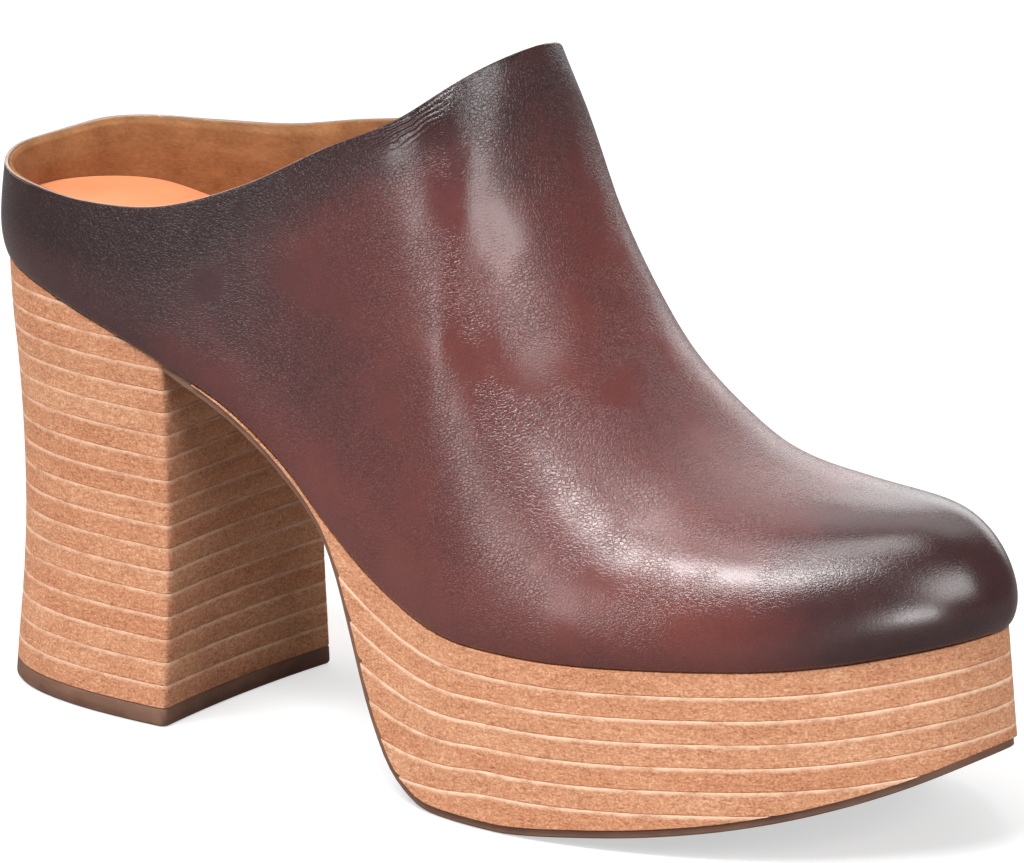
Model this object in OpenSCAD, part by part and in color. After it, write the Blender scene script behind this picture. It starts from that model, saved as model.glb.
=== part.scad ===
// Platform mule clog, right shoe of a pair. A one-piece leather upper is lasted over an insole board and
// sits on a stacked block heel and a stacked platform.
// Millimetres. +X points to the toe, +Y to the inner side of the foot, +Z up. The origin is the centre of
// the heel's ground face.

/* [Shoe] */
// Overall length of the upper's bottom edge, back to toe
shoe_length = 246.3; // [235:0.1:258]
// Width over the ball of the foot
ball_width = 86; // [82:0.5:90]
// Height of the platform's top at the ball of the foot
ball_height = 37.4; // [36:0.1:39]
// Rise of the heel seat's back edge above the ball
heel_rise = 56.8; // [54:0.1:59]
// Rise of the platform's top edge from the ball to the toe tip
toe_rise = 8.6; // [7:0.1:10]

/* [Sole and heel] */
// Thickness of one platform lift under the ball
platform_lift_t = 4.95; // [4.8:0.05:5.2]
// Thickness of the rubber top piece under the heel
top_piece_t = 4; // [3:0.5:6]
// Thickness of the outsole under the platform
outsole_t = 1.9; // [1.6:0.1:2.2]
// How far the outsole's edge sits inside the platform wall
outsole_inset = 0.8; // [0:0.1:1.5]
// Outward flare of the platform wall, per millimetre of depth
wall_flare = 0.09; // [0:0.01:0.1]
// Depth of the hollow in the heel's front face
breast_hollow = 1.5; // [0.5:0.1:3]
// Distance from the origin to the heel's front corners
breast_x = 30; // [29:0.5:31]

/* [Upper] */
// Thickness of the upper leather
leather_t = 1.5; // [1.3:0.1:1.6]
// Thickness of the stiffeners and tape between leather and lining
stiffener_t = 0.8; // [0.6:0.1:0.9]
// Thickness of the suede lining
lining_t = 0.9; // [0.7:0.1:1]
// Width of the lasting margin turned under the insole board
margin_w = 14; // [11:1:15]
// Width of the tape that keeps the topline from stretching
tape_w = 6; // [5:0.5:8]

/* [Inside the bottom] */
// Thickness of the insole board
insole_t = 2.2; // [1.8:0.1:2.4]
// Thickness of the sock lining
sock_t = 1.2; // [1:0.1:1.5]
// Width of the steel shank
shank_w = 12; // [10:1:14]
// Diameter of the heel screw
screw_d = 5; // [4:0.5:6]
// Diameter of the heel nails
nail_d = 2.2; // [1.8:0.1:2.6]

/* [Smoothness] */
// Rows of facets from the bottom edge to the top of the upper
wall_rows = 10; // [8:12]
// Rounds of facets at the back of the shoe and at the toe tip
end_steps = 8; // [6:10]

/* [Hidden] */
$fn = 32;
gap = 0.05;
layer_gap = 0.1;
bore_play = 0.2;
thin_edge = 0.3;
gauge_length = 246.3;
gauge_width = 86;
k = shoe_length / gauge_length;
wk = ball_width / gauge_width;
back_x = -27.7 * k;
tip_x = back_x + shoe_length;
mid_x = (tip_x + back_x) / 2;
half_x = shoe_length / 2;
throat_x = 104.5 * k;
cap_x = 150 * k;
axis_x = 30;
toe_swing = 6.5;
bulge_h = 9;
board_h = leather_t + insole_t + 0.1;
lining_d = leather_t + stiffener_t + 2 * layer_gap;
foot_d = lining_d + lining_t + 0.2;
seat_z = ball_height + heel_rise;
heel_lift_count = 18;
heel_lift_t = (seat_z - top_piece_t) / heel_lift_count;
platform_lift_count = 7;
shank_t = 1.2;
screw_x = -3;
screw_l = 42;
head_t = 2;
nail_depth = 22;
nail_l = 26.4;
top_nail_d = 1.8;
top_nail_l = 12;

// Profiles along the shoe: [station in millimetres on the 246.3 mm gauge length, value].
// Share of the heel rise and of the toe rise that the bottom edge of the upper has reached.
HEEL_SHARE = [[-28, 1], [-10, 0.96], [15, 0.847], [30, 0.754], [45, 0.643], [60, 0.469], [75, 0.267],
    [90, 0.118], [105, 0.03], [120, 0], [220, 0]];
TOE_SHARE = [[120, 0], [140, 0.03], [165, 0.2], [195, 0.47], [219, 1]];
// Height of the ground side of the sole: up the waist at the back, flat at the ball, sprung at the toe.
UNDERSIDE = [[30, 78.6], [45, 71.2], [60, 60.8], [72, 50.5], [78, 41.5], [84, 29], [90, 16.5],
    [97, 6.4], [105, 1.3], [112, 0], [130, 0], [150, 2.2], [165, 4.3], [180, 7.1], [195, 11],
    [208, 15.7], [221, 22]];
// How much thicker each platform lift is than under the ball.
LIFT_EXTRA = [[80, 0.65], [97, 0.65], [112, 0.35], [128, 0], [220, 0]];
// Fullness of the outline on the outer and the inner side of the foot.
OUTER_HALF = [[-28, 55], [0, 44.2], [30, 36], [60, 31], [90, 37], [120, 47], [150, 51.5], [185, 53],
    [210, 51], [219, 56]];
INNER_HALF = [[-28, 55], [0, 44.2], [30, 35.4], [60, 28.2], [90, 31.5], [120, 39.5], [150, 43.5],
    [175, 47], [195, 47.5], [210, 39], [219, 33]];
// Height of the topline on each side.
OUTER_TOP = [[-27.7, 115], [-20, 113.9], [-8, 113.4], [10, 112.8], [30, 114.7], [50, 121.8], [70, 132.3],
    [90, 142], [104.5, 153.8]];
INNER_TOP = [[-27.7, 115], [-20, 117.4], [0, 117.8], [20, 119.4], [40, 123.6], [58, 127.5], [75, 133.5],
    [90, 142], [104.5, 153.8]];
// Height of the ridge above the bottom edge. Behind the throat it is the last's, cut off by the topline.
RIDGE = [[-28, 105], [20, 128], [60, 150], [88, 144], [104.5, 114.5], [111, 95.3], [119, 77], [128, 61],
    [140, 47.7], [153, 37.6], [169, 32.3], [190, 31], [219, 36]];
// Roundness of the cross-section, sideways and upwards: 2 is an ellipse, more is squarer.
SIDE_POWER = [[-28, 2], [110, 2], [150, 2.3], [190, 2.6], [219, 2.4]];
RISE_POWER = [[-28, 2.2], [110, 2.1], [150, 2.2], [190, 2.4], [219, 2.2]];
// How far the wall swells beyond its bottom edge.
BULGE = [[-28, 1.9], [30, 1.4], [120, 1.2], [180, 1.8], [219, 2.4]];
// Height of the sock lining above the bottom edge.
SOCK = [[-28, 10.5], [-12, 11], [0, 10.6], [20, 11.5], [40, 13], [60, 12.5], [80, 10.5], [100, 10],
    [140, 9], [219, 7.5]];
// How far the heel wall pulls in, by height above the ground.
HEEL_INSET = [[0, 0.5], [9, 1.2], [22, 2.4], [36, 3.1], [53, 2.9], [70, 1.9], [82, 0.7], [95, 0]];

HEEL_LIFTS = [for (i = [1:heel_lift_count]) str("heel_lift_", i)];
PLATFORM_LIFTS = [for (i = [1:platform_lift_count]) str("platform_lift_", i)];

// ---- Curves ----

// Index of the knot span that holds x.
function span_of(knots, x, i = 0) =
    i >= len(knots) - 2 || x < knots[i + 1][0] ? i : span_of(knots, x, i + 1);

// Slope at a knot, taken over its neighbours.
function knot_slope(knots, i) =
    let (a = max(i - 1, 0), b = min(i + 1, len(knots) - 1))
    (knots[b][1] - knots[a][1]) / (knots[b][0] - knots[a][0]);

// Smooth curve through the knots, constant beyond both ends.
function curve(knots, at) =
    let (x = min(max(at, knots[0][0]), knots[len(knots) - 1][0]),
        i = span_of(knots, x),
        w = knots[i + 1][0] - knots[i][0],
        t = (x - knots[i][0]) / w,
        r = 1 - t)
    r * r * (1 + 2 * t) * knots[i][1] + t * t * (3 - 2 * t) * knots[i + 1][1]
        + t * r * w * (r * knot_slope(knots, i) - t * knot_slope(knots, i + 1));

function along(profile, x) = curve(profile, x / k);

// Height of the edge between the upper and the sole.
function feather(x) =
    ball_height + heel_rise * along(HEEL_SHARE, x) + toe_rise * along(TOE_SHARE, x);

function under(x) = max(0, along(UNDERSIDE, x));

// ---- Outline, seen from above: s runs from 0 at the back to 1 at the toe tip, inset d ----

function x_of(s, d = 0) = mid_x - (half_x - d) * cos(180 * s);
function s_of(x) = acos(min(1, max(-1, (mid_x - x) / half_x))) / 180;
function centre_y(x) = toe_swing * pow(max(x, 0) / tip_x, 2);
function half_width(x, side) = wk * along(side < 0 ? OUTER_HALF : INNER_HALF, x);

function outline(s, side, d) =
    let (x = x_of(s))
    [x_of(s, d), centre_y(x) + side * sin(180 * s) * (half_width(x, side) - d)];

// The line that the wall leans to: the ridge in front, and a point inside the heel behind.
function lean_axis(s, d) =
    let (x0 = x_of(s), x = x_of(s, d), t = max(0, (x0 - back_x) / (axis_x - back_x)))
    [x0 < axis_x ? axis_x * pow(t, (axis_x - back_x) / axis_x) + (x - x0) * t : x, centre_y(x0)];

// Height of the ridge above the bottom edge. It closes down to nothing at the toe tip.
function cap_height(s, d = 0) =
    let (x = x_of(s), t = min(1, max(0, (x - cap_x) / (tip_x - cap_x))))
    sqrt(max(0, 1 - pow(t, 4))) * (along(RIDGE, x) - d);

// Point of the wall at a share (0 to 1) of the ridge height.
function wall_point(s, side, d, share) =
    let (x = x_of(s),
        h = cap_height(s, d) * share,
        e = d - along(BULGE, x) * h / bulge_h * exp(1 - h / bulge_h),
        r = pow(max(0, 1 - pow(share, along(RISE_POWER, x))), 1 / along(SIDE_POWER, x)),
        f = outline(s, side, e),
        c = lean_axis(s, e))
    [c.x + r * (f.x - c.x), c.y + r * (f.y - c.y), feather(x) + h];

// Edge point at height h from the bottom edge: on the wall above it, on the flared sole below it.
function edge_point(s, side, d, h) =
    h > 0 ? wall_point(s, side, d, min(1, h / cap_height(s, d)))
        : let (f = outline(s, side, d + wall_flare * h)) [f.x, f.y, feather(x_of(s)) + h];

// ---- Shells of the upper ----

// Share of the ridge height at which a wall ends, drop millimetres inside the topline.
function top_share(x, side, drop) =
    let (u = (x - back_x) / (throat_x + drop - back_x), y = back_x + u * (throat_x - back_x))
    u >= 1 - 1e-9 ? 1
        : min(1, (along(side < 0 ? OUTER_TOP : INNER_TOP, y) - feather(y)) / cap_height(s_of(y)))
            - drop * (1 - pow(u, 6)) / cap_height(s_of(x));

// Last station before the toe tip at which a wall that starts at height low still has height.
function toe_end(low) =
    cap_x + (tip_x - cap_x) * pow(1 - pow(low / RIDGE[len(RIDGE) - 1][1], 2), 1 / 4);

// Share of the ridge height that height low has.
function low_share(s, d, low) = min(1, low / max(cap_height(s, d), 1e-3));

// One column of a wall. All shells share the rows of the outermost one, cut at shares low and high, so
// their facets stay parallel.
function wall_column(x, s, side, d, low, high) =
    let (top = asin(top_share(x, side, 0)))
    [for (j = [0:wall_rows])
        wall_point(s, side, d, j == wall_rows ? high : min(high, max(low, sin(top * j / wall_rows))))];

// Stations shared by all shells: close together at the back, around the throat and at the toe tip.
WALL_STATIONS = concat(
    [for (i = [0:end_steps - 1]) back_x + (breast_x - back_x) * (1 - cos(90 * i / end_steps))],
    [for (i = [0:7]) (breast_x + 8 * i) * k],
    [for (t = [-10, -6, -3.5, -2, -1, -0.3, 0, 1, 2.5, 4.5, 7, 10, 14]) throat_x + t],
    [for (x = [125:8:181]) x * k],
    [for (i = [0:end_steps]) tip_x - 32 * k * (1 - sin(90 * i / end_steps))]);

function triangle(p, a, b, c) =
    norm(p[a] - p[b]) < 1e-5 || norm(p[b] - p[c]) < 1e-5 || norm(p[a] - p[c]) < 1e-5 ? []
        : [[a, b, c]];

function quad(p, a, b, c, d) = concat(triangle(p, a, b, c), triangle(p, a, c, d));

// Closed shell between insets d0 and d1 of the wall, from station from to station to. It starts at
// height low, or band below its top where band is given, ends drop inside the topline, and turns
// under by margin at its bottom edge.
module wall_shell(from, to, d0, d1, low = 0, drop = 0, band = 0, margin = 0) {
    xs = concat([from], [for (x = WALL_STATIONS) if (x > from + 0.2 && x < to - 0.1) x], [to]);
    n = len(xs);
    extra = margin > 0 ? 1 : 0;
    ring = 2 * (wall_rows + 1) + 2 * extra;
    rim = wall_rows + extra;
    loop = concat([for (x = xs) [x, -1]], [for (i = [n - 1:-1:0]) [xs[i], 1]]);
    points = [for (c = loop)
        let (s = c[0] <= back_x + 1e-6 ? 0 : c[0] >= tip_x - 1e-6 ? 1 : s_of(c[0]),
            high = top_share(c[0], c[1], drop),
            band_low = top_share(c[0], c[1], drop + band),
            outer = wall_column(c[0], s, c[1], d0, band > 0 ? band_low : low_share(s, d0, low), high),
            inner = wall_column(c[0], s, c[1], d1, band > 0 ? band_low : low_share(s, d1, low), high),
            fold = outline(s, c[1], min(margin, half_width(x_of(s), c[1]) - 2)),
            z = feather(x_of(s)))
        each concat(extra ? [[fold.x, fold.y, z]] : [], outer,
            [for (j = [wall_rows:-1:0]) [inner[j].x, inner[j].y, max(inner[j].z, z + extra * d1)]],
            extra ? [[fold.x, fold.y, z + d1]] : [])];
    walls = [for (i = [0:2 * n - 2]) if (i != n - 1) for (j = [0:ring - 1])
        if (j != rim || min(loop[i][0], loop[i + 1][0]) < throat_x + drop - 1e-6)
            let (a = i * ring, b = a + ring, t = (j + 1) % ring)
            each quad(points, a + j, a + t, b + t, b + j)];
    ends = [for (c = [[0, from > back_x, 1], [n - 1, to < tip_x - 2, -1], [n, to < tip_x - 2, 1],
            [2 * n - 1, from > back_x, -1]])
        if (c[1]) for (j = [0:wall_rows - 1])
            let (a = c[0] * ring + j, b = c[0] * ring + ring - 1 - j)
            each c[2] > 0 ? quad(points, a, b, b - 1, a + 1) : quad(points, a, a + 1, b - 1, b)];
    polyhedron(points, concat(walls, ends));
}

// ---- Layers of the bottom ----

// Stations shared by all bottom layers: close together at both ends and through the waist.
STATIONS = concat([for (i = [0:7]) back_x + (breast_x - back_x) * (1 - cos(90 * i / 8))],
    [for (i = [0:17]) breast_x + i * 5 * k], [for (i = [0:8]) (122 + 8 * i) * k],
    [for (i = [1:9]) tip_x - 30 * k * (1 - sin(90 * i / 9))]);

function stations(from, to) =
    concat([from], [for (x = STATIONS) if (x > from + 0.5 && x < to - 0.3) x], [to]);

// Solid through cross-sections [outer top, inner top, inner bottom, outer bottom].
module strip(sections) {
    n = len(sections);
    points = [for (c = sections) each c];
    sides = [for (i = [0:n - 2]) for (j = [0:3])
        let (a = 4 * i, b = a + 4, t = (j + 1) % 4)
        each quad(points, a + j, a + t, b + t, b + j)];
    ends = concat(quad(points, 3, 2, 1, 0), quad(points, 4 * n - 4, 4 * n - 3, 4 * n - 2, 4 * n - 1));
    polyhedron(points, concat(sides, ends));
}

// Layer that fills the outline at inset d, between heights top(x) and low(x) above the edge.
module layer(from, to, d, top, low)
    strip([for (x = stations(from, to))
        let (s = x <= back_x ? 0 : x >= tip_x - 1e-6 ? 1 : s_of(x), a = top(x), b = low(x))
        [edge_point(s, -1, d, a), edge_point(s, 1, d, a), edge_point(s, 1, d, b),
            edge_point(s, -1, d, b)]]);

// Table of a curve moved square to itself by depth.
function offset_table(height, from, to, depth) =
    [for (x = [from:1.5:to])
        let (m = height(x + 0.5) - height(x - 0.5), w = sqrt(1 + m * m))
        [x + depth * m / w, height(x) - depth / w]];

OUTSOLE_TABLE = offset_table(function(x) under(x), breast_x - 6, tip_x + 6, -outsole_t);

// Top of the outsole and of platform lift i + 1, as heights from the edge.
function outsole_depth(x) = lookup(x, OUTSOLE_TABLE) - feather(x);
function lift_depth(i, x) =
    let (m = feather(x + 0.5) - feather(x - 0.5))
    -i * (platform_lift_t + along(LIFT_EXTRA, x)) * sqrt(1 + m * m);

// Underside of platform lift i. The last one reaches the outsole.
function lift_low(i, x) =
    i == platform_lift_count ? outsole_depth(x) : max(lift_depth(i, x) + gap, outsole_depth(x));

// ---- Sub-parts: upper ----

module upper_leather()
    color("#4a2022")
        wall_shell(back_x, tip_x, 0, leather_t, margin = margin_w);

module heel_counter()
    color("#c9b79a")
        wall_shell(back_x, 36, leather_t + layer_gap, lining_d - layer_gap, low = board_h,
            drop = tape_w + 1);

module interlining()
    color("#ddd8cc")
        wall_shell(36.3, 167.7, leather_t + layer_gap, lining_d - layer_gap, low = board_h,
            drop = tape_w + 1);

module toe_puff()
    color("#b8a98c")
        wall_shell(168, toe_end(board_h), leather_t + layer_gap, lining_d - layer_gap, low = board_h);

module topline_tape()
    color("#e6e1d6")
        wall_shell(back_x, throat_x + tape_w + 0.5, leather_t + layer_gap, lining_d - layer_gap,
            drop = 0.5, band = tape_w);

module quarter_lining()
    color("#b06a3c")
        wall_shell(back_x, 92, lining_d, lining_d + lining_t, low = board_h, drop = 0.2);

module vamp_lining()
    color("#c79a6b")
        wall_shell(92.2, toe_end(board_h), lining_d, lining_d + lining_t, low = board_h, drop = 0.2);

// ---- Sub-parts: inside the bottom ----

module drilled_for_screw()
    difference() {
        children();
        translate([screw_x, 0, 0])
            cylinder(h = seat_z + 20, d = screw_d + bore_play);
    }

module at_nails()
    for (p = [[-16, -9], [-16, 9], [9, -15], [9, 15]])
        translate([p.x, p.y, 0])
            children();

module drilled_for_nails()
    difference() {
        children();
        at_nails() cylinder(h = seat_z + 20, d = nail_d + bore_play);
    }

module at_rivets()
    for (x = [24, 74])
        translate([x * k, 0, feather(x * k)])
            rotate([0, atan(feather(x * k - 0.5) - feather(x * k + 0.5)), 0])
                children();

module rivet_holes()
    difference() {
        children();
        at_rivets() cylinder(h = 12, d = 3.2, center = true);
    }

module insole_board()
    color("#a98a63")
        rivet_holes() drilled_for_screw() drilled_for_nails()
            layer(back_x, toe_end(board_h + 0.5), leather_t + 0.15, function(x) board_h,
                function(x) leather_t + 0.1);

module shank()
    color("#8c9096")
        rivet_holes()
            strip([for (x = [10 : 5 : 95])
                let (z = feather(x * k) + 0.1, w = shank_w / 2)
                [[x * k, -w, z + shank_t], [x * k, w, z + shank_t], [x * k, w, z], [x * k, -w, z]]]);

module shank_rivets()
    color("#b9bcc0")
        at_rivets() {
            translate([0, 0, 0.4]) cylinder(h = board_h, d = 3);
            translate([0, 0, board_h + 0.35]) cylinder(h = 0.6, d = 6);
        }

module bottom_filler()
    color("#b58d5e")
        layer(98, tip_x - 2, margin_w + 0.5, function(x) leather_t - 0.1, function(x) 0.1);

module footbed_foam()
    color("#e2d2a8")
        drilled_for_head()
            layer(back_x, toe_end(board_h + 6), foot_d, function(x) along(SOCK, x) - sock_t - gap,
                function(x) board_h + 1.3);

module drilled_for_head()
    difference() {
        children();
        translate([screw_x, 0, feather(screw_x) + board_h]) cylinder(h = head_t + 1.6, d = 11);
        at_nails() translate([0, 0, feather(0) + board_h - 4]) cylinder(h = 9, d = 6);
    }

module sock_lining()
    color("#e6a273")
        layer(back_x, toe_end(board_h + 6), foot_d, function(x) along(SOCK, x),
            function(x) along(SOCK, x) - sock_t);

// ---- Sub-parts: sole ----

module outsole()
    color("#6d4632")
        layer(breast_x + gap, tip_x, outsole_inset, function(x) min(-0.1, outsole_depth(x) - gap),
            function(x) min(under(x) - feather(x), outsole_depth(x) - 0.6));

// Lift i counts from the top. The underside cuts the lower ones off at the waist and at the toe.
module platform_lift(i) {
    sound = [for (x = [breast_x + gap:1:tip_x - 1])
        if (lift_depth(i - 1, x) - outsole_depth(x) > thin_edge) x];
    from = sound[0];
    last = sound[len(sound) - 1];
    color(i % 2 == 0 ? "#d2a37c" : "#c99a74")
        layer(from, last > tip_x - 2.5 ? tip_x : last, 0,
            function(x) lift_depth(i - 1, x),
            function(x) min(lift_low(i, x), lift_depth(i - 1, x) - 0.2));
}

// ---- Sub-parts: heel ----

function heel_inset(z) = curve(HEEL_INSET, z);

// Heights of the pointed ends of the heel screw and of the heel nails.
function screw_end_z() = feather(screw_x) + board_h - screw_l;
function nail_end_z() = feather(0) - nail_depth;

// Stations of the heel wall at height z, from the back to share reach of the way to the front corner.
function heel_stations(z, reach = 1) =
    let (end = acos((mid_x - breast_x) / (half_x - heel_inset(z))) / 180)
    [for (i = [0:12]) reach * end * (1 - cos(90 * i / 12))];

// Outline of the heel at height z, with the hollow front face.
function heel_outline(z) =
    let (d = heel_inset(z), arc = heel_stations(z), w = outline(arc[12], 1, d).y)
    concat([for (i = [12:-1:1]) outline(arc[i], -1, d)], [for (s = arc) outline(s, 1, d)],
        [for (i = [1:5]) let (y = w * (1 - i / 3))
            [breast_x - breast_hollow * (1 - pow(y / w, 2)), y]]);

// Level lift between heights z0 and z1.
module level_lift(z0, z1) {
    low = heel_outline(z0);
    high = heel_outline(z1);
    n = len(low);
    points = concat([for (p = low) [p.x, p.y, z0]], [for (p = high) [p.x, p.y, z1]]);
    sides = [for (i = [0:n - 1]) let (t = (i + 1) % n) each quad(points, i, t, n + t, n + i)];
    polyhedron(points, concat(sides, [[for (i = [n - 1:-1:0]) i], [for (i = [n:2 * n - 1]) i]]));
}

// Lift whose top is cut off by the sloping heel seat.
module seat_lift(z0, z1) {
    sound = [for (r = [0.1:0.01:1]) if (feather(x_of(heel_stations(z0, r)[12])) - gap - z0 > thin_edge) r];
    reach = sound[len(sound) - 1] > 0.985 ? 1 : sound[len(sound) - 1];
    base = heel_stations(z0, reach);
    strip([for (i = [0:12])
        let (top = min(z1, feather(x_of(base[i])) - gap),
            s = heel_stations(top, reach)[i],
            d0 = heel_inset(z0), d1 = heel_inset(top),
            a = outline(s, -1, d1), b = outline(s, 1, d1),
            c = outline(base[i], 1, d0), e = outline(base[i], -1, d0))
        [[a.x, a.y, top], [b.x, b.y, top], [c.x, c.y, z0], [e.x, e.y, z0]]]);
}

module heel_lift(i) {
    z0 = top_piece_t + (i - 1) * heel_lift_t;
    z1 = z0 + heel_lift_t - gap;
    color(i % 2 == 0 ? "#d2a37c" : "#c99a74")
        difference() {
            if (z1 > feather(breast_x) - gap) seat_lift(z0, z1);
            else level_lift(z0, z1);
            if (z1 > screw_end_z())
                translate([screw_x, 0, screw_end_z()]) cylinder(h = seat_z, d = screw_d + bore_play);
            if (z1 > nail_end_z())
                at_nails() translate([0, 0, nail_end_z()]) cylinder(h = seat_z, d = nail_d + bore_play);
            if (z0 < top_nail_l)
                at_top_nails() cylinder(h = top_nail_l + 0.2, d = top_nail_d + 0.1);
        }
}

module heel_screw()
    color("#a7a9ac")
        translate([screw_x, 0, screw_end_z() + 0.3]) {
            cylinder(h = screw_l + 0.4, d = screw_d);
            translate([0, 0, screw_l + 0.4]) cylinder(h = head_t, d = 9);
        }

module heel_nails()
    color("#9a9da1")
        at_nails() {
            translate([0, 0, nail_end_z() + 0.3]) cylinder(h = nail_l, d = nail_d);
            translate([0, 0, nail_end_z() + 0.3 + nail_l]) cylinder(h = 0.8, d = 2 * nail_d);
        }

module at_top_nails()
    for (p = [[-14, 0], [0, -17], [0, 17], [18, -20], [18, 20]])
        translate([p.x, p.y, 0])
            children();

module top_piece_nails()
    color("#9a9da1")
        at_top_nails() {
            translate([0, 0, 0.8]) cylinder(h = top_nail_l - 0.8, d = top_nail_d);
            translate([0, 0, 0.5]) cylinder(h = 0.6, d = 3.4);
        }

module heel_top_piece()
    color("#6a4433")
        difference() {
            linear_extrude(top_piece_t - gap) polygon(heel_outline(0));
            at_top_nails() {
                translate([0, 0, -1]) cylinder(h = top_piece_t + 2, d = top_nail_d + 0.1);
                translate([0, 0, -1]) cylinder(h = 2.15, d = 3.6);
            }
        }

upper_leather();
quarter_lining();
vamp_lining();
toe_puff();
heel_counter();
interlining();
topline_tape();
insole_board();
shank();
shank_rivets();
bottom_filler();
footbed_foam();
sock_lining();
outsole();
for (i = [1:platform_lift_count])
    platform_lift(i);
for (i = [1:heel_lift_count])
    heel_lift(i);
heel_top_piece();
heel_screw();
heel_nails();
top_piece_nails();
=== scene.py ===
"""Looks of the platform mule clog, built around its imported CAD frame.

Shapes are worked out in millimetres, in the CAD frame: +X to the toe, +Y to the inner side, +Z up.
"""
import math

import bmesh
import bpy
import numpy as np
from mathutils import Matrix, Vector


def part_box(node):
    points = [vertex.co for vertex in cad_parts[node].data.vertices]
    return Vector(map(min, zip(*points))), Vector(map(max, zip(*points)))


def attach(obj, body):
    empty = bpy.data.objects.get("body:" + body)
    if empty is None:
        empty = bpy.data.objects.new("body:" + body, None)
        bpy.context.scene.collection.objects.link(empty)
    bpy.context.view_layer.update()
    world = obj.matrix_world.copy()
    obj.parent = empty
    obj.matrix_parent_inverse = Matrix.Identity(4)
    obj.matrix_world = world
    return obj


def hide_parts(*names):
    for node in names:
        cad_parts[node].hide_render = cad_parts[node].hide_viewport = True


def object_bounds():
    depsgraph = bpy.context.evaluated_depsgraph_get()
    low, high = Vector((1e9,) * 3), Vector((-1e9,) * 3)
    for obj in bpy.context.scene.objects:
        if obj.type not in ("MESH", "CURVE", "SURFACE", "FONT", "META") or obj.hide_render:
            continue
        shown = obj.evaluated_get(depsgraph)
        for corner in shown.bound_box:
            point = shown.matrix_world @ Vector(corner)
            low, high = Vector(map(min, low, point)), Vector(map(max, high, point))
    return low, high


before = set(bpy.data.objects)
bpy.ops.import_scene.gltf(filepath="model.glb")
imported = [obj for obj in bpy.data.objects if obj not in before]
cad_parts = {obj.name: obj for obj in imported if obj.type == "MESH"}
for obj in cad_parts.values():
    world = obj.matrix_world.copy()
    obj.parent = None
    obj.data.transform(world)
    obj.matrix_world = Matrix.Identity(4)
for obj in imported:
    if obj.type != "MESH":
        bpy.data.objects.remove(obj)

CAD_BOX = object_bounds()
MM = 0.001

# ---- Driving dimensions, the same as the CAD model's ----

SHOE_LENGTH = 246.3
BALL_HEIGHT = 37.4
HEEL_RISE = 56.8
TOE_RISE = 8.6
BACK_X = -27.7
TIP_X = BACK_X + SHOE_LENGTH
MID_X = (TIP_X + BACK_X) / 2
HALF_X = SHOE_LENGTH / 2
THROAT_X = 104.5
CAP_X = 150
AXIS_X = 30
TOE_SWING = 6.5
BULGE_H = 9
BREAST_X = 30
BREAST_HOLLOW = 1.5
TOP_PIECE_T = 4
SEAT_Z = BALL_HEIGHT + HEEL_RISE
HEEL_LIFTS = 18
HEEL_LIFT_T = (SEAT_Z - TOP_PIECE_T) / HEEL_LIFTS
PLATFORM_LIFTS = 7
PLATFORM_LIFT_T = 4.95
OUTSOLE_T = 1.9
OUTSOLE_INSET = 0.8
WALL_FLARE = 0.09
MARGIN_W = 14
LEATHER_T = 1.5
STIFFENER_D = 2.5
LINING_D = 3.6
BOARD_H = 3.8
SOCK_T = 1.2
SOCK_INSET = 3.6
GAP = 0.05
SCREW_HOLE = 5.2
NAIL_HOLE = 2.4
TACK_HOLE = 1.9

# Profiles along the shoe, as (station, value).
HEEL_SHARE = [(-28, 1), (-10, 0.96), (15, 0.847), (30, 0.754), (45, 0.643), (60, 0.469), (75, 0.267),
              (90, 0.118), (105, 0.03), (120, 0), (220, 0)]
TOE_SHARE = [(120, 0), (140, 0.03), (165, 0.2), (195, 0.47), (219, 1)]
UNDERSIDE = [(30, 78.6), (45, 71.2), (60, 60.8), (72, 50.5), (78, 41.5), (84, 29), (90, 16.5),
             (97, 6.4), (105, 1.3), (112, 0), (130, 0), (150, 2.2), (165, 4.3), (180, 7.1), (195, 11),
             (208, 15.7), (221, 22)]
OUTER_HALF = [(-28, 55), (0, 44.2), (30, 36), (60, 31), (90, 37), (120, 47), (150, 51.5), (185, 53),
              (210, 51), (219, 56)]
INNER_HALF = [(-28, 55), (0, 44.2), (30, 35.4), (60, 28.2), (90, 31.5), (120, 39.5), (150, 43.5),
              (175, 47), (195, 47.5), (210, 39), (219, 33)]
OUTER_TOP = [(-27.7, 115), (-20, 113.9), (-8, 113.4), (10, 112.8), (30, 114.7), (50, 121.8),
             (70, 132.3), (90, 142), (104.5, 153.8)]
INNER_TOP = [(-27.7, 115), (-20, 117.4), (0, 117.8), (20, 119.4), (40, 123.6), (58, 127.5),
             (75, 133.5), (90, 142), (104.5, 153.8)]
RIDGE = [(-28, 105), (20, 128), (60, 150), (88, 144), (104.5, 114.5), (111, 95.3), (119, 77),
         (128, 61), (140, 47.7), (153, 37.6), (169, 32.3), (190, 31), (219, 36)]
SIDE_POWER = [(-28, 2), (110, 2), (150, 2.3), (190, 2.6), (219, 2.4)]
RISE_POWER = [(-28, 2.2), (110, 2.1), (150, 2.2), (190, 2.4), (219, 2.2)]
BULGE = [(-28, 1.9), (30, 1.4), (120, 1.2), (180, 1.8), (219, 2.4)]
SOCK = [(-28, 10.5), (-12, 11), (0, 10.6), (20, 11.5), (40, 13), (60, 12.5), (80, 10.5), (100, 10),
        (140, 9), (219, 7.5)]
LIFT_EXTRA = [(80, 0.65), (97, 0.65), (112, 0.35), (128, 0), (220, 0)]
HEEL_INSET = [(0, 0.5), (9, 1.2), (22, 2.4), (36, 3.1), (53, 2.9), (70, 1.9), (82, 0.7), (95, 0)]

# ---- Finish: what only the looks have ----

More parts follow.
